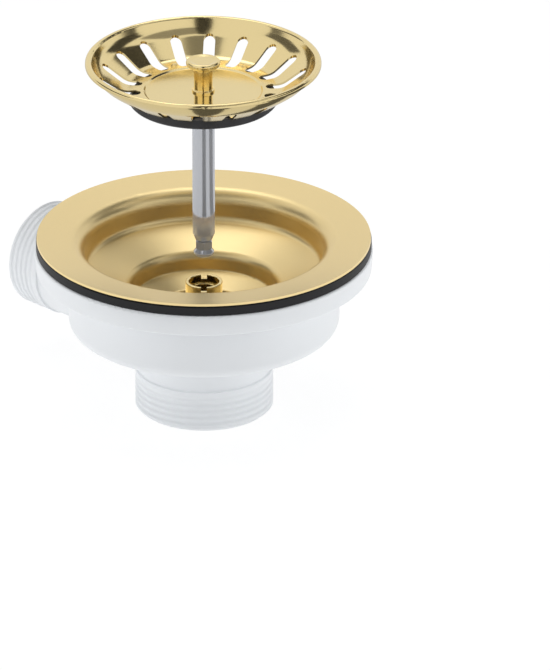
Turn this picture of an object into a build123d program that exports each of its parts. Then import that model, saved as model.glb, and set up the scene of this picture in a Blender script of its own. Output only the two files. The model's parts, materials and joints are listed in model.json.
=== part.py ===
from build123d import *
import math
import os

# Basket-strainer sink waste, millimetres, +Z up. The origin is on the axis at the outlet's lower end,
# and the side port points along -X. The basket plug is drawn raised, straight above its seat.

# White moulded body
OUTLET_RADIUS = 23.9        # over the crests of the outlet's thread
OUTLET_WALL = 3.2
OUTLET_LENGTH = 29.6        # from the cup's underside to the outlet's end
OUTLET_THREAD = 14.6        # threaded length
PORT_RADIUS = 18.5          # over the crests of the port's thread
PORT_WALL = 3.0
PORT_LENGTH = 32.7          # from the cup's wall to the port's end
PORT_THREAD = 14.5
PORT_RISE = 3.4             # port axis above the cup's underside
END_CHAMFER = 1.2           # lead-in of both threads
RELIEF_WIDTH = 2.0          # groove where each thread runs out
RELIEF_DEPTH = 0.6
NECK_STEP = 0.5             # plain neck below the thread's crests
CUP_GAP = 1.8               # between the bowl's sheet and the cup's wall
CUP_WALL = 2.8
CUP_FLOOR = 3.0
CUP_HEIGHT = 21.9           # from the cup's underside to the collar's underside
CUP_EDGE = 4.5              # rounding of the cup's bottom edge
COLLAR_PROUD = 0.5          # collar beyond the gasket's edge
COLLAR_HEIGHT = 7.5
COLLAR_DRAFT = 0.5          # how much narrower the skirt is at its foot
COLLAR_PLATE = 3.0
COLLAR_EDGE = 0.9
SKIRT_WALL = 2.6
HUB_RADIUS = 9.6            # boss in the outlet that takes the hollow screw
HUB_LENGTH = 15.0
ARM_COUNT = 4
ARM_WIDTH = 3.0
ARM_HEIGHT = 10.0
ARM_DROP = 4.0              # top of the arms below the hub's top

# Rubber gasket under the flange
GASKET_PROUD = 0.3          # gasket beyond the flange's edge
GASKET_HEIGHT = 3.6         # under the flange's outer edge
GASKET_EDGE = 0.5

# Pressed flange and bowl; the seat's depth is below the flange's outer edge
FLANGE_RADIUS = 57.5
FLANGE_SHEET = 0.8
FLANGE_SLOPE = 0.114        # fall towards the bowl for each millimetre of radius
FLANGE_ROLL = 5.0           # soft roll from the flange into the bowl
FLANGE_WIDTH = 16.1         # from the flange's edge to the bowl's wall
BOWL_TAPER = 0.4
SEAT_WIDTH = 16.4           # slope from the bowl's wall to the throat
SEAT_SLOPE = 0.389          # fall for each millimetre of radius
SEAT_DEPTH = 18.05          # of the slope's inner end, before its edge is rounded
SEAT_BEND = 2.5
THROAT_ROUND = 3.5          # soft edge from the seat into the throat
THROAT_TAPER = 0.6          # how much the throat narrows to its foot
THROAT_HEIGHT = 5.55        # from the seat down to the throat's foot
SUMP_BEND = 0.8
HUB_FLOOR_RADIUS = 16.6
SUMP_FALL = 3.6             # from the throat's foot down to the floor around the hollow screw
HUB_FLOOR_BEND = 2.0
DRAIN_COUNT = 4             # kidney-shaped drain slots around the hollow screw
DRAIN_INNER = 10.4
DRAIN_OUTER = 15.6
DRAIN_SWEEP = 58.0          # degrees

# Hollow centre screw and the brass insert in the hub
SCREW_FLANGE_RADIUS = 9.0
SCREW_FLANGE_HEIGHT = 2.2
SCREW_RADIUS = 6.4
SCREW_HEIGHT = 10.3         # from the bowl's hub floor to the top
SCREW_MOUTH_RADIUS = 5.15
SCREW_MOUTH_DEPTH = 3.0
SCREW_BORE = 4.25
SCREW_SHANK = 5.5
SCREW_SHANK_LENGTH = 12.0
SCREW_SLOT_WIDTH = 2.0
SCREW_SLOT_DEPTH = 1.6
SCREW_SLOT_TURN = 135.0     # degrees, the way the driver slot lies
SCREW_EDGE = 0.4
INSERT_RADIUS = 7.6
INSERT_LENGTH = 12.0
INSERT_KEY = 0.5            # depth of the groove that keys the insert into the hub

# Basket plug; heights are above the floor disc
PLUG_LIFT = 69.0            # how far above its seat the plug is drawn
BASKET_GAP = 1.0            # between the basket's lip and the bowl's wall
BASKET_SHEET = 0.7
BASKET_DEPTH = 11.4
LIP_WIDTH = 2.0
LIP_DROP = 1.5
LIP_BEND = 1.1
LIP_RUN = 4.0               # from the lip's edge to the knee of the dish wall
WALL_HEIGHT = 6.9           # of that knee
WALL_RUN = 9.2              # from that knee in to the floor
FLOOR_RUN = 7.4             # from the floor's edge in to the sunk disc
FLOOR_STEP = 0.45           # the floor disc lies this far below the floor around it
STEP_RUN = 0.6
STEP_BEND = 0.3
WALL_BEND = 9.0
FLOOR_BEND = 6.0
SLOT_COUNT = 18
SLOT_WIDTH = 4.0
SLOT_MARGIN_IN = 1.7        # from the sunk disc to the slots
SLOT_MARGIN_OUT = 0.9       # from the slots to the knee of the dish wall
SLOT_TURN = 11.7            # degrees from +X to the first slot
KNOB_HEIGHT = 11.6
KNOB_RADIUS = 5.9
KNOB_HEAD = 3.0
KNOB_STEM = 3.2
KNOB_FOOT_RADIUS = 3.9
KNOB_FOOT = 0.8
KNOB_DISH = 0.5
KNOB_RING = 3.6             # inner ring on the knob's face
KNOB_EDGE = 0.9
STUD_RADIUS = 2.5           # threaded stud that holds the plug together
STUD_ENGAGEMENT = 8.0
STOP_GAP = 0.3              # between the seal plate and the hollow screw when the plug is down
SEAL_GAP = 0.3              # between the seal's lip and the throat when the plug is down
SEAL_DEPTH = 3.8            # seal's lower face below the floor disc
SEAL_WEB = 0.6
SEAL_LIP = 0.7              # bevel below the seal's lip
SEAL_WAIST = 1.0            # how much narrower the seal is under the basket
SEAL_RING = 7.5             # width of the seal's thick outer part
SEAL_EDGE = 0.3
PLATE_GAP = 0.6             # around the plate in the seal's recess
PLATE_THICKNESS = 0.5
SPINDLE_RADIUS = 3.87
SPINDLE_LENGTH = 53.3
SPINDLE_TAPER = 0.9         # how much the lower end narrows
SPINDLE_TAPER_LENGTH = 2.2
ADJUSTER_RADIUS = 1.5       # threaded shank of the adjusting screw
ADJUSTER_ENGAGEMENT = 9.0
FOOT_RADIUS = 3.6
FOOT_NECK = 2.6
FOOT_HEIGHT = 2.6
FOOT_ROUND = 0.9
NUT_FLATS = 5.5
NUT_HEIGHT = 2.9
NUT_GAP = 0.5               # between the spindle's end and the lock nut
NUT_CHAMFER = 0.35
NUT_TURN = 18.0             # degrees

CLEARANCE = 0.2             # around pieces that pass through a hole
THREAD_CLEARANCE = 0.1      # around threads, which are drawn plain at their crests

# Radii, worked in from the flange's edge
GASKET_RADIUS = FLANGE_RADIUS + GASKET_PROUD
COLLAR_RADIUS = GASKET_RADIUS + COLLAR_PROUD
BOWL_RADIUS = FLANGE_RADIUS - FLANGE_WIDTH
CUP_RADIUS = BOWL_RADIUS + FLANGE_SHEET + CUP_GAP + CUP_WALL
PORT_REACH = CUP_RADIUS + PORT_LENGTH
SEAT_INNER = BOWL_RADIUS - SEAT_WIDTH
THROAT_FOOT = SEAT_INNER - THROAT_TAPER
BASKET_RADIUS = BOWL_RADIUS - BASKET_GAP
WALL_RADIUS = BASKET_RADIUS - LIP_RUN
FLOOR_RADIUS = WALL_RADIUS - WALL_RUN
DISC_RADIUS = FLOOR_RADIUS - FLOOR_RUN
SLOT_INNER = DISC_RADIUS + SLOT_MARGIN_IN
SLOT_OUTER = WALL_RADIUS - SLOT_MARGIN_OUT

# Levels, worked up from the outlet's end
CUP_BOTTOM = OUTLET_LENGTH
COLLAR_BOTTOM = CUP_BOTTOM + CUP_HEIGHT
COLLAR_TOP = COLLAR_BOTTOM + COLLAR_HEIGHT
FLANGE_TOP = COLLAR_TOP + GASKET_HEIGHT + FLANGE_SHEET
PORT_LEVEL = CUP_BOTTOM + PORT_RISE
SEAT_LEVEL = FLANGE_TOP - SEAT_DEPTH
THROAT_LEVEL = SEAT_LEVEL - THROAT_HEIGHT
HUB_FLOOR = THROAT_LEVEL - SUMP_FALL
HUB_TOP = HUB_FLOOR - FLANGE_SHEET
HUB_BOTTOM = HUB_TOP - HUB_LENGTH
PLATE_BOTTOM = HUB_FLOOR + SCREW_HEIGHT + STOP_GAP + PLUG_LIFT
PLATE_TOP = PLATE_BOTTOM + PLATE_THICKNESS
DISC_UNDERSIDE = PLATE_TOP + SEAL_WEB
DISC = DISC_UNDERSIDE + BASKET_SHEET
SEAL_FACE = DISC - SEAL_DEPTH
SPINDLE_END = PLATE_BOTTOM - SPINDLE_LENGTH
NUT_TOP = SPINDLE_END - NUT_GAP
NUT_BOTTOM = NUT_TOP - NUT_HEIGHT
FOOT_END = NUT_BOTTOM - FOOT_HEIGHT
HOLE_RADIUS = STUD_RADIUS + CLEARANCE
BOWL_HOLE = SCREW_SHANK + CLEARANCE

# The seal's lip, measured from the middle of the throat's rounding
SEAT_ANGLE = math.atan(SEAT_SLOPE)
THROAT_ANGLE = math.atan2(THROAT_HEIGHT, THROAT_TAPER)
ROUND_START = THROAT_ROUND * math.tan((THROAT_ANGLE - SEAT_ANGLE) / 2)
ROUND_RADIUS = SEAT_INNER + ROUND_START * math.cos(SEAT_ANGLE) + THROAT_ROUND * math.sin(SEAT_ANGLE)
ROUND_LEVEL = SEAT_LEVEL + ROUND_START * math.sin(SEAT_ANGLE) - THROAT_ROUND * math.cos(SEAT_ANGLE)
LIP_ABOVE = SEAL_FACE + SEAL_LIP - PLUG_LIFT - ROUND_LEVEL
SEAL_RADIUS = ROUND_RADIUS - math.sqrt((THROAT_ROUND + SEAL_GAP) ** 2 - LIP_ABOVE ** 2)
SEAL_RECESS = SEAL_RADIUS - SEAL_RING
PLATE_RADIUS = SEAL_RECESS - PLATE_GAP


def section(points, radii):
    """Face in the XZ plane with the given corners, each rounded by its own radius."""
    return make_face(Plane.XZ * FilletPolyline(*points, radius=radii, close=True))


def turned(points, radii=0):
    """Solid of revolution about Z of a section with rounded corners."""
    if not isinstance(radii, list):
        radii = [radii] * len(points)
    return revolve(section(points, radii), Axis.Z)


def ring(inner, outer, bottom, top):
    """Plain ring about Z, or a disc where the inner radius is 0."""
    return turned([(inner, bottom), (outer, bottom), (outer, top), (inner, top)])


def around(shape, count, first=0.0):
    """Copies of a shape, evenly spaced about Z."""
    return [Rot(0, 0, first + 360.0 * i / count) * shape for i in range(count)]


def pressed_sheet(points, bends, thickness):
    """Sheet of revolution: its upper line from the rim inwards, each bend rounded, and a parallel
    line one thickness below."""
    directions = []
    for start, end in zip(points, points[1:]):
        length = math.dist(start, end)
        directions.append(((end[0] - start[0]) / length, (end[1] - start[1]) / length))
    below = []
    below_bends = []
    for i, (r, z) in enumerate(points):
        before = directions[max(i - 1, 0)]
        after = directions[min(i, len(directions) - 1)]
        mitre = thickness / (1 + before[0] * after[0] + before[1] * after[1])
        below.append((r - (before[1] + after[1]) * mitre, z + (before[0] + after[0]) * mitre))
        turn = before[0] * after[1] - before[1] * after[0]
        if 0 < i < len(points) - 1:
            below_bends.append(max(bends[i - 1] - math.copysign(thickness, turn), 0.0))
    radii = [0.0, *bends, 0.0, 0.0, *reversed(below_bends), 0.0]
    return turned(points + below[::-1], radii)


def flange_level(radius):
    """Height of the flange's upper face."""
    return FLANGE_TOP - (FLANGE_RADIUS - radius) * FLANGE_SLOPE


def threaded_tube(radius, length, thread):
    """Outside of a tube with its threaded end at Z = 0: lead-in, thread drawn plain, relief groove, neck."""
    neck = radius - NECK_STEP
    relief = radius - RELIEF_DEPTH
    slope = RELIEF_DEPTH / 2
    return turned([
        (0, 0),
        (radius - END_CHAMFER, 0),
        (radius, END_CHAMFER),
        (radius, thread),
        (relief, thread + slope),
        (relief, thread + RELIEF_WIDTH - slope),
        (neck, thread + RELIEF_WIDTH),
        (neck, length),
        (0, length),
    ])


def make_body():
    """Collar, cup, outlet and side port as one moulding, with the hub on its arms in the outlet."""
    foot = COLLAR_RADIUS - COLLAR_DRAFT
    outlet = threaded_tube(OUTLET_RADIUS, OUTLET_LENGTH + CUP_FLOOR / 2, OUTLET_THREAD)
    cup = turned(
        [(0, CUP_BOTTOM), (CUP_RADIUS, CUP_BOTTOM), (CUP_RADIUS, COLLAR_TOP), (0, COLLAR_TOP)],
        [0, CUP_EDGE, 0, 0],
    )
    collar = turned(
        [
            (0, COLLAR_TOP - COLLAR_PLATE),
            (foot - SKIRT_WALL, COLLAR_TOP - COLLAR_PLATE),
            (foot - SKIRT_WALL, COLLAR_BOTTOM),
            (foot, COLLAR_BOTTOM),
            (COLLAR_RADIUS, COLLAR_TOP),
            (0, COLLAR_TOP),
        ],
        [0, 0, 0, COLLAR_EDGE, COLLAR_EDGE, 0],
    )
    port_frame = Pos(-PORT_REACH, 0, PORT_LEVEL) * Rot(0, 90, 0)
    port = port_frame * threaded_tube(PORT_RADIUS, PORT_REACH, PORT_THREAD)
    outside = outlet + cup + collar + port

    outlet_bore = OUTLET_RADIUS - OUTLET_WALL
    cup_inside = turned(
        [
            (0, CUP_BOTTOM + CUP_FLOOR),
            (CUP_RADIUS - CUP_WALL, CUP_BOTTOM + CUP_FLOOR),
            (CUP_RADIUS - CUP_WALL, COLLAR_TOP),
            (0, COLLAR_TOP),
        ],
        [0, CUP_EDGE - CUP_WALL, 0, 0],
    )
    port_bore = port_frame * ring(0, PORT_RADIUS - PORT_WALL, 0, PORT_REACH)
    shell = outside - cup_inside - ring(0, outlet_bore, 0, CUP_BOTTOM + CUP_FLOOR) - port_bore

    arm = Pos(0, 0, HUB_TOP - ARM_DROP - ARM_HEIGHT) * Box(
        outlet_bore + OUTLET_WALL / 3, ARM_WIDTH, ARM_HEIGHT, align=(Align.MIN, Align.CENTER, Align.MIN)
    )
    hub = ring(0, HUB_RADIUS, HUB_BOTTOM, HUB_TOP) + around(arm, ARM_COUNT, 180.0 / ARM_COUNT)
    insert_pocket = make_insert_blank()
    return shell + hub - insert_pocket - ring(0, SCREW_SHANK + CLEARANCE, HUB_BOTTOM, HUB_TOP)


def make_insert_blank():
    """Outside of the brass insert: a bush with a keying groove."""
    bottom = HUB_TOP - INSERT_LENGTH
    step = INSERT_LENGTH / 3
    groove = INSERT_RADIUS - INSERT_KEY
    return turned([
        (0, bottom),
        (INSERT_RADIUS, bottom),
        (INSERT_RADIUS, bottom + step),
        (groove, bottom + step),
        (groove, bottom + 2 * step),
        (INSERT_RADIUS, bottom + 2 * step),
        (INSERT_RADIUS, HUB_TOP),
        (0, HUB_TOP),
    ])


def make_threaded_insert():
    """Brass insert moulded into the hub."""
    return make_insert_blank() - ring(0, SCREW_SHANK + THREAD_CLEARANCE, HUB_TOP - INSERT_LENGTH, HUB_TOP)


def make_gasket():
    """Rubber ring between the collar and the flange, its upper face pressed to the flange's slope."""
    inner = BOWL_RADIUS + FLANGE_ROLL + CLEARANCE
    sheet_height = FLANGE_SHEET * math.hypot(1, FLANGE_SLOPE)
    return turned(
        [
            (inner, COLLAR_TOP),
            (GASKET_RADIUS, COLLAR_TOP),
            (GASKET_RADIUS, flange_level(GASKET_RADIUS) - sheet_height),
            (inner, flange_level(inner) - sheet_height),
        ],
        [0, GASKET_EDGE, GASKET_EDGE, 0],
    )


def make_flange_bowl():
    """Flange, bowl, seat and sump pressed from one sheet, with a ring of drain slots."""
    seat_top = BOWL_RADIUS - BOWL_TAPER
    sheet = pressed_sheet(
        [
            (FLANGE_RADIUS, FLANGE_TOP),
            (BOWL_RADIUS, flange_level(BOWL_RADIUS)),
            (seat_top, SEAT_LEVEL + (seat_top - SEAT_INNER) * SEAT_SLOPE),
            (SEAT_INNER, SEAT_LEVEL),
            (THROAT_FOOT, THROAT_LEVEL),
            (HUB_FLOOR_RADIUS, HUB_FLOOR),
            (BOWL_HOLE, HUB_FLOOR),
        ],
        [FLANGE_ROLL, SEAT_BEND, THROAT_ROUND, SUMP_BEND, HUB_FLOOR_BEND],
        FLANGE_SHEET,
    )
    middle = (DRAIN_INNER + DRAIN_OUTER) / 2
    arc = CenterArc((0, 0), middle, -DRAIN_SWEEP / 2, DRAIN_SWEEP)
    drain = extrude(SlotArc(arc, DRAIN_OUTER - DRAIN_INNER), SUMP_FALL)
    return sheet - around(Pos(0, 0, HUB_TOP - FLANGE_SHEET) * drain, DRAIN_COUNT)


def make_hollow_screw():
    """Centre screw that clamps the bowl to the body and guides the spindle."""
    shank_end = HUB_FLOOR - SCREW_SHANK_LENGTH
    top = HUB_FLOOR + SCREW_HEIGHT
    flange_top = HUB_FLOOR + SCREW_FLANGE_HEIGHT
    blank = turned(
        [
            (SCREW_BORE, shank_end),
            (SCREW_SHANK, shank_end),
            (SCREW_SHANK, HUB_FLOOR),
            (SCREW_FLANGE_RADIUS, HUB_FLOOR),
            (SCREW_FLANGE_RADIUS, flange_top),
            (SCREW_RADIUS, flange_top),
            (SCREW_RADIUS, top),
            (SCREW_MOUTH_RADIUS, top),
            (SCREW_MOUTH_RADIUS, top - SCREW_MOUTH_DEPTH),
            (SCREW_BORE, top - SCREW_MOUTH_DEPTH),
        ],
        [0, SCREW_EDGE, 0, 0, SCREW_EDGE, SCREW_EDGE, SCREW_EDGE, SCREW_EDGE, 0, SCREW_EDGE],
    )
    slot = Pos(0, 0, top - SCREW_SLOT_DEPTH) * Rot(0, 0, SCREW_SLOT_TURN) * Box(
        2.5 * SCREW_RADIUS, SCREW_SLOT_WIDTH, SCREW_SLOT_DEPTH, align=(Align.CENTER, Align.CENTER, Align.MIN)
    )
    return blank - slot


def make_basket():
    """Slotted dish of the plug, pressed from one sheet, with a turned-down lip and a sunk floor disc."""
    lip_inner = BASKET_RADIUS - LIP_WIDTH
    rim = DISC + BASKET_DEPTH
    floor = DISC + FLOOR_STEP
    dish = pressed_sheet(
        [
            (BASKET_RADIUS, rim - LIP_DROP),
            (BASKET_RADIUS, rim),
            (lip_inner, rim),
            (WALL_RADIUS, DISC + WALL_HEIGHT),
            (FLOOR_RADIUS, floor),
            (DISC_RADIUS + STEP_RUN, floor),
            (DISC_RADIUS, DISC),
            (HOLE_RADIUS, DISC),
        ],
        [LIP_BEND, LIP_BEND, WALL_BEND, FLOOR_BEND, STEP_BEND, STEP_BEND],
        BASKET_SHEET,
    )
    middle = (SLOT_INNER + SLOT_OUTER) / 2
    slot = extrude(SlotOverall(SLOT_OUTER - SLOT_INNER, SLOT_WIDTH), BASKET_DEPTH)
    return dish - around(Pos(middle, 0, DISC_UNDERSIDE) * slot, SLOT_COUNT, SLOT_TURN)


def make_knob():
    """Turned knob with its foot ring, and the stud that runs down through the plug into the spindle."""
    top = DISC + KNOB_HEIGHT
    head_bottom = top - KNOB_HEAD
    stud_end = PLATE_BOTTOM - STUD_ENGAGEMENT
    return turned(
        [
            (0, stud_end),
            (STUD_RADIUS, stud_end),
            (STUD_RADIUS, DISC),
            (KNOB_FOOT_RADIUS, DISC),
            (KNOB_FOOT_RADIUS, DISC + KNOB_FOOT),
            (KNOB_STEM, DISC + KNOB_FOOT),
            (KNOB_STEM, head_bottom),
            (KNOB_RADIUS, head_bottom + KNOB_EDGE),
            (KNOB_RADIUS, top),
            (KNOB_RING, top - KNOB_DISH),
            (0, top - KNOB_DISH),
        ],
        [0, CLEARANCE, 0, 0, KNOB_FOOT / 3, KNOB_FOOT / 3, KNOB_EDGE, KNOB_EDGE, KNOB_EDGE, KNOB_DISH, 0],
    )


def make_basket_seal():
    """Rubber disc under the basket: a bevelled lip that shuts the throat, and a recess for the plate."""
    return turned(
        [
            (HOLE_RADIUS, PLATE_TOP),
            (SEAL_RECESS, PLATE_TOP),
            (SEAL_RECESS, SEAL_FACE),
            (SEAL_RADIUS - SEAL_LIP, SEAL_FACE),
            (SEAL_RADIUS, SEAL_FACE + SEAL_LIP),
            (SEAL_RADIUS - SEAL_WAIST, DISC_UNDERSIDE),
            (HOLE_RADIUS, DISC_UNDERSIDE),
        ],
        [0, 0, SEAL_EDGE, SEAL_EDGE, SEAL_EDGE, SEAL_EDGE, 0],
    )


def make_seal_plate():
    """Round plate that the spindle presses against the seal."""
    return ring(HOLE_RADIUS, PLATE_RADIUS, PLATE_BOTTOM, PLATE_TOP)


def make_spindle():
    """Guide spindle, tapped at both ends and narrowed at the lower one."""
    tip = SPINDLE_RADIUS - SPINDLE_TAPER
    rod = turned(
        [
            (0, SPINDLE_END),
            (tip, SPINDLE_END),
            (SPINDLE_RADIUS, SPINDLE_END + SPINDLE_TAPER_LENGTH),
            (SPINDLE_RADIUS, PLATE_BOTTOM),
            (0, PLATE_BOTTOM),
        ],
        [0, CLEARANCE, SPINDLE_TAPER_LENGTH / 2, CLEARANCE, 0],
    )
    stud_hole = ring(0, STUD_RADIUS + THREAD_CLEARANCE, PLATE_BOTTOM - STUD_ENGAGEMENT - CLEARANCE, PLATE_BOTTOM)
    screw_hole = ring(0, ADJUSTER_RADIUS + THREAD_CLEARANCE, SPINDLE_END,
                      SPINDLE_END + ADJUSTER_ENGAGEMENT + CLEARANCE)
    return rod - stud_hole - screw_hole


def make_lock_nut():
    """Hexagon nut that locks the adjusting screw, with its corners turned off."""
    across_corners = NUT_FLATS / math.cos(math.pi / 6)
    corner = across_corners / 2
    hexagon = Rot(0, 0, NUT_TURN) * extrude(RegularPolygon(corner, 6), NUT_HEIGHT)
    turned_corners = turned([
        (ADJUSTER_RADIUS + THREAD_CLEARANCE, NUT_BOTTOM),
        (corner - NUT_CHAMFER, NUT_BOTTOM),
        (corner, NUT_BOTTOM + NUT_CHAMFER),
        (corner, NUT_TOP - NUT_CHAMFER),
        (corner - NUT_CHAMFER, NUT_TOP),
        (ADJUSTER_RADIUS + THREAD_CLEARANCE, NUT_TOP),
    ])
    return Pos(0, 0, NUT_BOTTOM) * hexagon & turned_corners


def make_adjusting_screw():
    """Screw in the spindle's end, with a flared foot that sets how high the plug stands."""
    shank_top = SPINDLE_END + ADJUSTER_ENGAGEMENT
    return turned(
        [
            (0, FOOT_END),
            (FOOT_RADIUS, FOOT_END),
            (FOOT_RADIUS, FOOT_END + FOOT_HEIGHT / 2),
            (FOOT_NECK, NUT_BOTTOM),
            (ADJUSTER_RADIUS, NUT_BOTTOM),
            (ADJUSTER_RADIUS, shank_top),
            (0, shank_top),
        ],
        [0, FOOT_ROUND, FOOT_HEIGHT / 4, 0, 0, CLEARANCE, 0],
    )


PIECES = {
    "body": make_body,
    "threaded_insert": make_threaded_insert,
    "gasket": make_gasket,
    "flange_bowl": make_flange_bowl,
    "hollow_screw": make_hollow_screw,
    "basket": make_basket,
    "knob": make_knob,
    "basket_seal": make_basket_seal,
    "seal_plate": make_seal_plate,
    "spindle": make_spindle,
    "lock_nut": make_lock_nut,
    "adjusting_screw": make_adjusting_screw,
}

os.makedirs("parts", exist_ok=True)
for name, make in PIECES.items():
    export_step(make(), f"parts/{name}.step")
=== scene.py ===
"""Looks of a basket-strainer sink waste: threads on its white body, and the finish of every piece."""

import json
import math

import bmesh
import bpy
from bpy.props import FloatProperty, FloatVectorProperty, IntProperty, PointerProperty
from mathutils import Matrix, Vector


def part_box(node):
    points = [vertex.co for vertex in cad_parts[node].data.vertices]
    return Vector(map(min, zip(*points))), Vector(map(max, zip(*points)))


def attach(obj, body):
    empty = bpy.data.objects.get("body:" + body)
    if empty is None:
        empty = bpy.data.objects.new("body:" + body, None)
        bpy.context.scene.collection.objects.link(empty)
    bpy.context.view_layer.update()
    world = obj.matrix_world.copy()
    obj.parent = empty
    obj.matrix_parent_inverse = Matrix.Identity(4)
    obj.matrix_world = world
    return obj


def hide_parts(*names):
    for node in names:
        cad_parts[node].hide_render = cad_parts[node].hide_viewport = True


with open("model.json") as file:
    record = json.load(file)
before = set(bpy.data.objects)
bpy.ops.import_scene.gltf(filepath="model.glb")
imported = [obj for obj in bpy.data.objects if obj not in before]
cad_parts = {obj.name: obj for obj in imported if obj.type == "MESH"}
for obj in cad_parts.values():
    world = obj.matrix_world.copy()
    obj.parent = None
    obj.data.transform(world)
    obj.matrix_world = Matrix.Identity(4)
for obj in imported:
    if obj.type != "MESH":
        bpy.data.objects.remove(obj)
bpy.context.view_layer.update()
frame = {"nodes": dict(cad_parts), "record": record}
MOUNTS = {mount["name"]: mount for mount in frame["record"]["mounts"]}
PORT_REACH = -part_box("body")[0][0]
PORT_LEVEL = MOUNTS["side_port_thread"]["pos_m"][2]
FLANGE_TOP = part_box("flange_bowl")[1][2]

bl_info = {
    "name": "Sink Waste",
    "version": (1, 0, 0),
    "blender": (4, 5, 0),
    "location": "View3D > Sidebar > Sink Waste",
    "description": "Threads, finishes and studio for a basket-strainer sink waste",
    "category": "Object",
}

IMAGE_WIDTH = 550
IMAGE_HEIGHT = 670

MERGE = 1e-6                # points of a CAD copy this close are one point
SMALL = 2e-6                # how far a point may lie off a plain cylinder
LAP = 5e-5                  # kept free at both ends of a threaded wall, so that its rings stay apart
FADE_IN = 0.35              # share of the pitch in which a groove reaches its depth
SHARP = math.radians(32)    # edges of the body that are sharper keep a hard shade

FLOOR_SIZE = 12.0
FLOOR_GREY = 0.3            # of the floor as the camera sees it, which keeps a soft shadow
FLOOR_GLOW = 0.8            # brings that floor up to white
FLOOR_PALE = 0.92           # of the floor as a source of bounced light
FLOOR_LIFT = 0.27           # added to that light
SKY_TINT = (0.97, 0.985, 1.0)
SKY_LIGHT = 0.36
MIDDLE = (0, 0, 0.07)       # where the lamps aim
KEY_PLACE = (-0.1, 0.1, 1.0)
KEY_SIZE = 1.0
SIDE_TURN = 75              # degrees from the camera to each side lamp
SIDE_HEIGHT = 0.16
SIDE_SIZE = 0.8
TABLE_CARD_RISE = 0.006     # flat cards above the flange, seen from above and from below
HOOD_RISE = 0.02
CARD_STEP = 0.0002          # between cards that lie on one another
CARD_FACES = 36
CLIP_END = 50.0


class WasteThreads(bpy.types.PropertyGroup):
    """Pipe threads of the outlet and the side port."""

    pitch: FloatProperty(
        name="Pitch", description="Rise of the thread in one turn", default=0.00231, unit="LENGTH"
    )
    depth: FloatProperty(
        name="Depth", description="Depth of the groove below the crests", default=0.0005, unit="LENGTH"
    )
    run_out: FloatProperty(
        name="Run-out", description="Length over which the groove fades out", default=0.0045, unit="LENGTH"
    )
    outlet_radius: FloatProperty(
        name="Outlet Radius", description="Over the crests of the outlet's thread",
        default=0.0239, unit="LENGTH"
    )
    outlet_start: FloatProperty(
        name="Outlet Start", description="Thread's start above the outlet's end",
        default=0.0012, unit="LENGTH"
    )
    outlet_end: FloatProperty(
        name="Outlet End", description="Thread's end above the outlet's end", default=0.0146, unit="LENGTH"
    )
    port_radius: FloatProperty(
        name="Port Radius", description="Over the crests of the port's thread",
        default=0.0185, unit="LENGTH"
    )
    port_reach: FloatProperty(
        name="Port Reach", description="From the waste's axis to the port's end",
        default=PORT_REACH, unit="LENGTH"
    )
    port_level: FloatProperty(
        name="Port Level", description="Height of the port's axis", default=PORT_LEVEL, unit="LENGTH"
    )
    port_start: FloatProperty(
        name="Port Start", description="Thread's start from the port's end", default=0.0012, unit="LENGTH"
    )
    port_end: FloatProperty(
        name="Port End", description="Thread's end from the port's end", default=0.0145, unit="LENGTH"
    )
    around: IntProperty(name="Around", description="Faces around each thread", default=180, min=24)
    along: IntProperty(name="Along", description="Faces along each thread", default=110, min=12)


class WasteFinishes(bpy.types.PropertyGroup):
    """Colours of the finishes."""

    white: FloatVectorProperty(
        name="White Plastic", description="Moulded body", default=(0.84, 0.86, 0.88), subtype="COLOR",
        min=0, max=1
    )
    satin: FloatVectorProperty(
        name="Satin Gold", description="Flange and bowl", default=(0.92, 0.73, 0.37), subtype="COLOR",
        min=0, max=1
    )
    polished: FloatVectorProperty(
        name="Polished Gold", description="Basket, knob and centre screw", default=(0.95, 0.77, 0.39),
        subtype="COLOR", min=0, max=1
    )
    chrome: FloatVectorProperty(
        name="Chrome", description="Spindle, nut and foot", default=(0.71, 0.73, 0.78), subtype="COLOR",
        min=0, max=1
    )
    rubber: FloatVectorProperty(
        name="Rubber", description="Gasket", default=(0.008, 0.008, 0.009), subtype="COLOR", min=0, max=1
    )
    seal: FloatVectorProperty(
        name="Seal", description="Seal under the basket", default=(0.035, 0.035, 0.038), subtype="COLOR",
        min=0, max=1
    )
    brass: FloatVectorProperty(
        name="Brass", description="Threaded insert", default=(0.72, 0.56, 0.30), subtype="COLOR",
        min=0, max=1
    )
    steel: FloatVectorProperty(
        name="Steel", description="Seal plate", default=(0.62, 0.63, 0.65), subtype="COLOR", min=0, max=1
    )


class WasteStudio(bpy.types.PropertyGroup):
    """Camera and lamps."""

    azimuth: FloatProperty(
        name="Azimuth", description="Camera's direction round the waste", default=math.radians(45),
        subtype="ANGLE"
    )
    elevation: FloatProperty(
        name="Elevation", description="Camera's height above the horizon", default=math.radians(24.4),
        subtype="ANGLE"
    )
    lens: FloatProperty(name="Lens", description="Focal length in millimetres", default=500.0)
    scale: FloatProperty(
        name="Scale", description="Image points to a metre at the waste's axis", default=2906.0
    )
    flange_level: FloatProperty(
        name="Flange Level", description="Height of the flange's edge", default=FLANGE_TOP, unit="LENGTH"
    )
    flange_across: FloatProperty(
        name="Flange Across", description="Image column of the flange's middle", default=203.8
    )
    flange_down: FloatProperty(
        name="Flange Down", description="Image row of the flange's middle", default=235.8
    )
    key_power: FloatProperty(name="Key Power", description="Lamp above", default=3.4, unit="POWER")
    side_power: FloatProperty(
        name="Side Power", description="Lamps at both sides", default=4.5, unit="POWER"
    )


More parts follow.
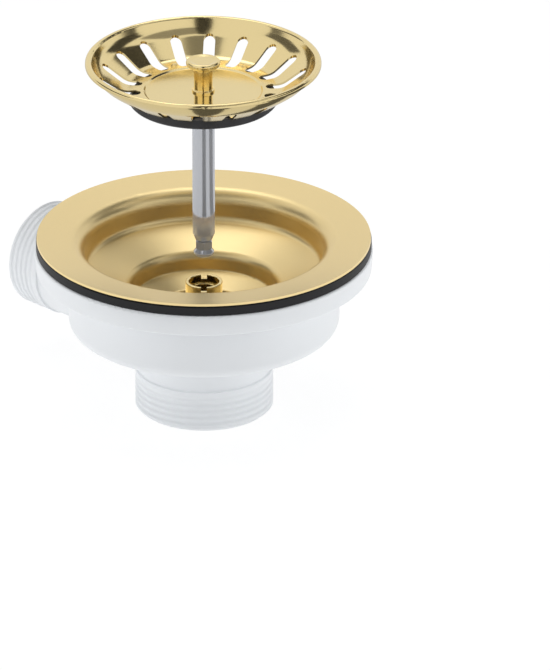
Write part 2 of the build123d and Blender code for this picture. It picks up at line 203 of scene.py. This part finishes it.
class Nodes:
    """Short hand for building a material's node tree."""

    def __init__(self, name):
        self.material = bpy.data.materials.new(name)
        self.material.use_nodes = True
        self.tree = self.material.node_tree
        self.shader = self.tree.nodes["Principled BSDF"]

    def add(self, kind, **values):
        node = self.tree.nodes.new(kind)
        for key, value in values.items():
            setattr(node, key, value)
        return node

    def join(self, source, target):
        self.tree.links.new(source, target)

    def position(self):
        return self.add("ShaderNodeTexCoord").outputs["Object"]

    def noise(self, vector, scale, detail=3.0):
        node = self.add("ShaderNodeTexNoise")
        node.inputs["Scale"].default_value = scale
        node.inputs["Detail"].default_value = detail
        self.join(vector, node.inputs["Vector"])
        return node.outputs["Fac"]

    def spread(self, value, low, high):
        """Maps a 0 to 1 value onto a range."""
        node = self.add("ShaderNodeMapRange")
        node.inputs["To Min"].default_value = low
        node.inputs["To Max"].default_value = high
        self.join(value, node.inputs["Value"])
        return node.outputs["Result"]

    def bump(self, height, strength, distance):
        node = self.add("ShaderNodeBump")
        node.inputs["Strength"].default_value = strength
        node.inputs["Distance"].default_value = distance
        self.join(height, node.inputs["Height"])
        self.join(node.outputs["Normal"], self.shader.inputs["Normal"])

    def tint(self, value, dark, light):
        """Blends two colours by a 0 to 1 value and gives the surface that colour."""
        node = self.add("ShaderNodeMix", data_type="RGBA")
        node.inputs["A"].default_value = (*dark, 1.0)
        node.inputs["B"].default_value = (*light, 1.0)
        self.join(value, node.inputs["Factor"])
        self.join(node.outputs["Result"], self.shader.inputs["Base Color"])

    def turned_lines(self, scale, sweep):
        """Noise drawn out around the Z axis, as turning and circular brushing leave it."""
        parts = self.add("ShaderNodeSeparateXYZ")
        self.join(self.position(), parts.inputs["Vector"])
        flat = self.add("ShaderNodeCombineXYZ")
        self.join(parts.outputs["X"], flat.inputs["X"])
        self.join(parts.outputs["Y"], flat.inputs["Y"])
        radius = self.add("ShaderNodeVectorMath", operation="LENGTH")
        self.join(flat.outputs["Vector"], radius.inputs[0])
        angle = self.add("ShaderNodeMath", operation="ARCTAN2")
        self.join(parts.outputs["Y"], angle.inputs[0])
        self.join(parts.outputs["X"], angle.inputs[1])
        turn = self.add("ShaderNodeMath", operation="MULTIPLY")
        turn.inputs[1].default_value = sweep
        self.join(angle.outputs["Value"], turn.inputs[0])
        lines = self.add("ShaderNodeCombineXYZ")
        self.join(radius.outputs["Value"], lines.inputs["X"])
        self.join(turn.outputs["Value"], lines.inputs["Y"])
        self.join(parts.outputs["Z"], lines.inputs["Z"])
        return self.noise(lines.outputs["Vector"], scale, detail=4.0)


def shade(colour, factor):
    """A colour made darker or lighter."""
    return [min(1.0, c * factor) for c in colour]


def white_plastic(colour):
    """Moulded plastic with a soft sheen and a very fine moulded grain."""
    made = Nodes("white_plastic")
    made.tint(made.noise(made.position(), scale=60.0), shade(colour, 0.985), shade(colour, 1.015))
    grain = made.noise(made.position(), scale=900.0)
    made.join(made.spread(grain, low=0.34, high=0.44), made.shader.inputs["Roughness"])
    made.bump(made.noise(made.position(), scale=2600.0), strength=0.06, distance=0.0001)
    made.shader.inputs["Specular IOR Level"].default_value = 0.5
    return made.material


def satin_gold(colour):
    """Gold coating over circular brushing."""
    made = Nodes("satin_gold")
    lines = made.turned_lines(scale=5200.0, sweep=0.004)
    made.tint(lines, shade(colour, 0.97), shade(colour, 1.03))
    made.join(made.spread(lines, low=0.28, high=0.4), made.shader.inputs["Roughness"])
    made.bump(lines, strength=0.05, distance=0.00005)
    made.shader.inputs["Metallic"].default_value = 0.96
    return made.material


def polished_metal(name, colour, low, high, metallic=1.0):
    """Bright metal with faint turning lines, and a roughness from low to high."""
    made = Nodes(name)
    lines = made.turned_lines(scale=3800.0, sweep=0.003)
    made.tint(lines, shade(colour, 0.985), shade(colour, 1.015))
    made.join(made.spread(lines, low, high), made.shader.inputs["Roughness"])
    made.shader.inputs["Metallic"].default_value = metallic
    return made.material


def rubber(name, colour, low, high):
    """Moulded rubber, slightly mottled, with a roughness from low to high."""
    made = Nodes(name)
    grain = made.noise(made.position(), scale=1400.0)
    made.tint(made.noise(made.position(), scale=120.0), shade(colour, 0.85), shade(colour, 1.2))
    made.join(made.spread(grain, low, high), made.shader.inputs["Roughness"])
    made.bump(grain, strength=0.12, distance=0.0001)
    made.shader.inputs["Specular IOR Level"].default_value = 0.3
    return made.material


def clad(node_name, material):
    """Gives a CAD node its finish."""
    mesh = frame["nodes"][node_name].data
    mesh.materials.clear()
    mesh.materials.append(material)


def new_piece(name, shape, material, body, slot, *nodes):
    """Turns a bmesh into a piece that stands for CAD nodes and moves with a body."""
    mesh = bpy.data.meshes.new(name)
    shape.to_mesh(mesh)
    shape.free()
    mesh.materials.append(material)
    piece = bpy.data.objects.new(name, mesh)
    bpy.context.scene.collection.objects.link(piece)
    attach(piece, body)
    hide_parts(*nodes)
    return piece


def thread_height(turns):
    """Rounded pipe-thread profile: 1 on the crest and 0 in the root."""
    wave = 0.5 + 0.5 * math.cos(2 * math.pi * turns)
    return min(1.0, max(0.0, 1.35 * wave - 0.15))


def cut_thread(shape, into_zone, radius, start, end, settings):
    """Swaps a plain cylinder of a merged CAD copy for a threaded wall.

    into_zone takes the mesh to a frame whose Z runs along the thread from the tube's end."""
    plain = []
    for face in shape.faces:
        spots = [into_zone @ v.co for v in face.verts]
        on_wall = all(abs(math.hypot(s.x, s.y) - radius) < SMALL for s in spots)
        if on_wall and all(start - SMALL < s.z < end + SMALL for s in spots):
            plain.append(face)
    if not plain:
        raise RuntimeError("no plain cylinder found to cut the thread in")
    bmesh.ops.delete(shape, geom=plain, context="FACES")
    open_edges = [e for e in shape.edges if e.is_boundary]

    back = into_zone.inverted()
    step = (end - start - 2 * LAP) / settings.along
    heights = [start + LAP + i * step for i in range(settings.along + 1)]
    column = [shape.verts.new(back @ Vector((radius, 0, height))) for height in heights]
    edges = [shape.edges.new(pair) for pair in zip(column, column[1:])]
    axis = (back.to_3x3() @ Vector((0, 0, 1))).normalized()
    spun = bmesh.ops.spin(
        shape, geom=column + edges, cent=back.translation, axis=axis, angle=2 * math.pi,
        steps=settings.around, use_merge=True,
    )
    wall = {v for v in spun["geom_last"] if isinstance(v, bmesh.types.BMVert)}
    wall.update(column)
    grown = set(wall)
    while grown:
        grown = {e.other_vert(v) for v in grown for e in v.link_edges} - wall
        wall |= grown
    for vert in wall:
        spot = into_zone @ vert.co
        angle = math.atan2(spot.y, spot.x)
        fade_in = min(1.0, (spot.z - start) / (FADE_IN * settings.pitch))
        fade_out = min(1.0, (end - spot.z) / settings.run_out)
        height = thread_height(spot.z / settings.pitch - angle / (2 * math.pi))
        drop = settings.depth * (1.0 - height) * fade_in * fade_out
        reach = (radius - drop) / math.hypot(spot.x, spot.y)
        vert.co = back @ Vector((spot.x * reach, spot.y * reach, spot.z))
    ends = [e for e in shape.edges if e.is_boundary and e.verts[0] in wall]
    for level in (start, end):
        loops = [
            e for e in open_edges + ends
            if e.is_valid and all(abs((into_zone @ v.co).z - level) < LAP + SMALL for v in e.verts)
        ]
        bmesh.ops.bridge_loops(shape, edges=loops)


class WASTE_OT_body(bpy.types.Operator):
    """Cut the pipe threads into the white body"""

    bl_idname = "waste.body"
    bl_label = "Threaded Body"

    def execute(self, context):
        threads = context.scene.waste_threads
        shape = bmesh.new()
        shape.from_mesh(frame["nodes"]["body"].data)
        bmesh.ops.remove_doubles(shape, verts=shape.verts, dist=MERGE)
        outlet = Matrix.Identity(4)
        cut_thread(
            shape, outlet, threads.outlet_radius, threads.outlet_start, threads.outlet_end, threads
        )
        port_end = Matrix.Translation((-threads.port_reach, 0, threads.port_level))
        port = (port_end @ Matrix.Rotation(math.pi / 2, 4, "Y")).inverted()
        cut_thread(shape, port, threads.port_radius, threads.port_start, threads.port_end, threads)
        bmesh.ops.recalc_face_normals(shape, faces=shape.faces)
        for face in shape.faces:
            face.smooth = True
        for edge in shape.edges:
            edge.smooth = edge.calc_face_angle(math.pi) < SHARP
        finish = white_plastic(context.scene.waste_finishes.white)
        new_piece("threaded_body", shape, finish, "waste", "white_plastic", "body")
        return {"FINISHED"}


class WASTE_OT_rubber(bpy.types.Operator):
    """Finish the gasket and the basket's seal"""

    bl_idname = "waste.rubber"
    bl_label = "Gasket and Seal"

    def execute(self, context):
        finishes = context.scene.waste_finishes
        clad("gasket", rubber("black_rubber", finishes.rubber, low=0.42, high=0.6))
        clad("basket_seal", rubber("seal_rubber", finishes.seal, low=0.34, high=0.5))
        return {"FINISHED"}


class WASTE_OT_gold(bpy.types.Operator):
    """Finish the flange, bowl, centre screw, basket and knob"""

    bl_idname = "waste.gold"
    bl_label = "Gold Pieces"

    def execute(self, context):
        finishes = context.scene.waste_finishes
        clad("flange_bowl", satin_gold(finishes.satin))
        polished = polished_metal("polished_gold", finishes.polished, low=0.1, high=0.17)
        for name in ("hollow_screw", "basket", "knob"):
            clad(name, polished)
        return {"FINISHED"}


class WASTE_OT_bright(bpy.types.Operator):
    """Finish the spindle, nut, foot, seal plate and insert"""

    bl_idname = "waste.bright"
    bl_label = "Bright Pieces"

    def execute(self, context):
        finishes = context.scene.waste_finishes
        chrome = polished_metal("chromed_steel", finishes.chrome, low=0.1, high=0.16, metallic=0.62)
        for name in ("spindle", "lock_nut", "adjusting_screw"):
            clad(name, chrome)
        clad("seal_plate", polished_metal("bright_steel", finishes.steel, low=0.18, high=0.28))
        clad("threaded_insert", polished_metal("plain_brass", finishes.brass, low=0.2, high=0.3))
        return {"FINISHED"}


def seen_white(tree, white, otherwise):
    """Shader that is white to the camera and in reflections, and another shader to diffuse light."""
    path = tree.nodes.new("ShaderNodeLightPath")
    seen = path.outputs["Is Camera Ray"]
    for ray in ("Is Glossy Ray", "Is Transmission Ray"):
        either = tree.nodes.new("ShaderNodeMath")
        either.operation = "MAXIMUM"
        tree.links.new(seen, either.inputs[0])
        tree.links.new(path.outputs[ray], either.inputs[1])
        seen = either.outputs["Value"]
    mix = tree.nodes.new("ShaderNodeMixShader")
    tree.links.new(seen, mix.inputs["Fac"])
    tree.links.new(otherwise, mix.inputs[1])
    tree.links.new(white, mix.inputs[2])
    return mix.outputs["Shader"]


def pale_floor():
    """Floor that keeps a soft shadow and reads as white."""
    shape = bmesh.new()
    bmesh.ops.create_grid(shape, x_segments=1, y_segments=1, size=FLOOR_SIZE)
    mesh = bpy.data.meshes.new("floor")
    shape.to_mesh(mesh)
    shape.free()
    floor = bpy.data.objects.new("floor", mesh)
    bpy.context.scene.collection.objects.link(floor)
    material = bpy.data.materials.new("pale_floor")
    material.use_nodes = True
    tree = material.node_tree
    tree.nodes.remove(tree.nodes["Principled BSDF"])
    matt = tree.nodes.new("ShaderNodeBsdfDiffuse")
    matt.inputs["Color"].default_value = (FLOOR_GREY, FLOOR_GREY, FLOOR_GREY, 1.0)
    glow = tree.nodes.new("ShaderNodeEmission")
    glow.inputs["Strength"].default_value = FLOOR_GLOW
    both = tree.nodes.new("ShaderNodeAddShader")
    tree.links.new(matt.outputs["BSDF"], both.inputs[0])
    tree.links.new(glow.outputs["Emission"], both.inputs[1])
    plain = tree.nodes.new("ShaderNodeBsdfDiffuse")
    plain.inputs["Color"].default_value = (FLOOR_PALE, FLOOR_PALE, FLOOR_PALE, 1.0)
    lift = tree.nodes.new("ShaderNodeEmission")
    lift.inputs["Strength"].default_value = FLOOR_LIFT
    lit = tree.nodes.new("ShaderNodeAddShader")
    tree.links.new(plain.outputs["BSDF"], lit.inputs[0])
    tree.links.new(lift.outputs["Emission"], lit.inputs[1])
    shader = seen_white(tree, both.outputs["Shader"], lit.outputs["Shader"])
    tree.links.new(shader, tree.nodes["Material Output"].inputs["Surface"])
    mesh.materials.append(material)


def white_world():
    """World that reads as white and gives an even, plain light."""
    world = bpy.data.worlds.new("studio")
    bpy.context.scene.world = world
    world.use_nodes = True
    tree = world.node_tree
    light = tree.nodes["Background"]
    light.inputs["Color"].default_value = (*SKY_TINT, 1.0)
    light.inputs["Strength"].default_value = SKY_LIGHT
    backdrop = tree.nodes.new("ShaderNodeBackground")
    backdrop.inputs["Strength"].default_value = 1.0
    shader = seen_white(tree, backdrop.outputs["Background"], light.outputs["Background"])
    tree.links.new(shader, tree.nodes["World Output"].inputs["Surface"])


def soft_lamp(name, place, target, size, power):
    """Large square soft lamp aimed at a point."""
    data = bpy.data.lights.new(name, "AREA")
    data.shape = "SQUARE"
    data.size = size
    data.energy = power
    lamp = bpy.data.objects.new(name, data)
    lamp.location = place
    lamp.rotation_euler = (Vector(target) - Vector(place)).to_track_quat("-Z", "Y").to_euler()
    bpy.context.scene.collection.objects.link(lamp)
    return lamp


def card(name, outline, start, sweep, glow, seen_from="all"):
    """Card seen only in reflections: an upright outline of (distance, height), swept about Z.

    A card that is seen from above or below only can be looked through from its other side."""
    shape = bmesh.new()
    turn = Matrix.Rotation(start, 3, "Z")
    line = [shape.verts.new(turn @ Vector((reach, 0, height))) for reach, height in outline]
    edges = [shape.edges.new(pair) for pair in zip(line, line[1:])]
    bmesh.ops.spin(shape, geom=line + edges, cent=(0, 0, 0), axis=(0, 0, 1), angle=sweep, steps=CARD_FACES)
    shape.faces.ensure_lookup_table()
    shape.normal_update()
    if (shape.faces[0].normal.z < 0) != (seen_from == "below"):
        bmesh.ops.reverse_faces(shape, faces=shape.faces)
    mesh = bpy.data.meshes.new(name)
    shape.to_mesh(mesh)
    shape.free()
    material = bpy.data.materials.new(name)
    material.use_nodes = True
    tree = material.node_tree
    tree.nodes.remove(tree.nodes["Principled BSDF"])
    light = tree.nodes.new("ShaderNodeEmission")
    light.inputs["Strength"].default_value = glow
    shader = light.outputs["Emission"]
    if seen_from != "all":
        clear = tree.nodes.new("ShaderNodeBsdfTransparent")
        side = tree.nodes.new("ShaderNodeNewGeometry")
        mix = tree.nodes.new("ShaderNodeMixShader")
        tree.links.new(side.outputs["Backfacing"], mix.inputs["Fac"])
        tree.links.new(shader, mix.inputs[1])
        tree.links.new(clear.outputs["BSDF"], mix.inputs[2])
        shader = mix.outputs["Shader"]
    tree.links.new(shader, tree.nodes["Material Output"].inputs["Surface"])
    mesh.materials.append(material)
    flag = bpy.data.objects.new(name, mesh)
    bpy.context.scene.collection.objects.link(flag)
    flag.visible_camera = False
    flag.visible_diffuse = False
    flag.visible_shadow = False
    flag.visible_transmission = False


def studio_camera(settings):
    """Camera at the picture's angle, with the flange's middle at its place in the image."""
    turn = settings.azimuth
    rise = settings.elevation
    back = Vector((math.sin(turn) * math.cos(rise), -math.cos(turn) * math.cos(rise), math.sin(rise)))
    right = Vector((math.cos(turn), math.sin(turn), 0))
    up = back.cross(right)
    aim = Vector((0, 0, settings.flange_level))
    aim += right * (IMAGE_WIDTH / 2 - settings.flange_across) / settings.scale
    aim -= up * (IMAGE_HEIGHT / 2 - settings.flange_down) / settings.scale
    data = bpy.data.cameras.new("camera")
    data.lens = settings.lens
    data.clip_end = CLIP_END
    distance = settings.lens / data.sensor_width * IMAGE_HEIGHT / settings.scale
    camera = bpy.data.objects.new("camera", data)
    camera.location = aim + back * distance
    camera.rotation_euler = (-back).to_track_quat("-Z", "Y").to_euler()
    bpy.context.scene.collection.objects.link(camera)
    bpy.context.scene.camera = camera


def reflection_cards(front):
    """Dark and bright cards around the waste, which give the metal something to mirror.

    Each has an outline, its start and sweep in degrees from the camera's direction, its glow,
    and the side that it is seen from."""
    table = FLANGE_TOP + TABLE_CARD_RISE
    hood = FLANGE_TOP + HOOD_RISE
    ring = [(0.010, table), (1.0, table)]
    pale_ring = [(reach, height - CARD_STEP) for reach, height in ring]
    cards = {
        "front_strip": ([(1.0, 0.35), (0.9, 0.9), (0.3, 1.2)], -10, 20, 0.03, "all"),
        "front_flag": ([(0.9, 0.9), (0.4, 1.25)], 10, 75, 0.28, "all"),
        "right_flag": ([(1.2, 0.4), (1.0, 0.85)], 75, 50, 0.05, "all"),
        "left_flag": ([(1.2, 0.4), (1.0, 0.8)], 235, 50, 0.12, "all"),
        "ceiling_card": ([(0.22, 1.3), (0.0, 1.3)], 0, 360, 0.2, "all"),
        "back_glow": ([(0.8, 1.0), (0.4, 1.3)], 162, 50, 1.9, "all"),
        "back_flag": ([(0.8, 0.62), (0.5, 1.05)], 112, 42, 0.05, "all"),
        "bowl_hood": ([(0.025, hood), (0.09, hood)], -75, 150, 0.06, "below"),
        "table_card": (pale_ring, 0, 360, 0.66, "above"),
        "table_strip": (ring, -11.5, 34.5, 0.1, "above"),
        "right_table_strip": (ring, 60, 46, 0.1, "above"),
    }
    for name, (outline, start, sweep, glow, seen_from) in cards.items():
        card(name, outline, front + math.radians(start), math.radians(sweep), glow, seen_from)


class WASTE_OT_studio(bpy.types.Operator):
    """Set up the floor, world, lamps, cards and camera"""

    bl_idname = "waste.studio"
    bl_label = "Studio"

    def execute(self, context):
        settings = context.scene.waste_studio
        pale_floor()
        white_world()
        front = settings.azimuth - math.pi / 2
        lamps = [soft_lamp("key_lamp", KEY_PLACE, MIDDLE, KEY_SIZE, settings.key_power)]
        for name, turn in (("left_lamp", -SIDE_TURN), ("right_lamp", SIDE_TURN)):
            way = front + math.radians(turn)
            place = (math.cos(way), math.sin(way), SIDE_HEIGHT)
            lamps.append(soft_lamp(name, place, MIDDLE, SIDE_SIZE, settings.side_power))
        for lamp in lamps:
            lamp.visible_glossy = False
        reflection_cards(front)
        studio_camera(settings)
        context.scene.view_settings.view_transform = "Standard"
        return {"FINISHED"}


class WASTE_PT_sidebar(bpy.types.Panel):
    """Sink waste tools"""

    bl_idname = "WASTE_PT_sidebar"
    bl_label = "Sink Waste"
    bl_space_type = "VIEW_3D"
    bl_region_type = "UI"
    bl_category = "Sink Waste"

    def draw(self, context):
        for step in STEPS:
            self.layout.operator(step.bl_idname)


STEPS = (WASTE_OT_body, WASTE_OT_rubber, WASTE_OT_gold, WASTE_OT_bright, WASTE_OT_studio)
GROUPS = {"waste_threads": WasteThreads, "waste_finishes": WasteFinishes, "waste_studio": WasteStudio}


def register():
    for name, group in GROUPS.items():
        bpy.utils.register_class(group)
        setattr(bpy.types.Scene, name, PointerProperty(type=group))
    for step in STEPS:
        bpy.utils.register_class(step)
    bpy.utils.register_class(WASTE_PT_sidebar)


def unregister():
    bpy.utils.unregister_class(WASTE_PT_sidebar)
    for step in reversed(STEPS):
        bpy.utils.unregister_class(step)
    for name, group in GROUPS.items():
        delattr(bpy.types.Scene, name)
        bpy.utils.unregister_class(group)


def main():
    register()
    bpy.ops.waste.body()
    bpy.ops.waste.rubber()
    bpy.ops.waste.gold()
    bpy.ops.waste.bright()
    bpy.ops.waste.studio()


if __name__ == "__main__":
    main()
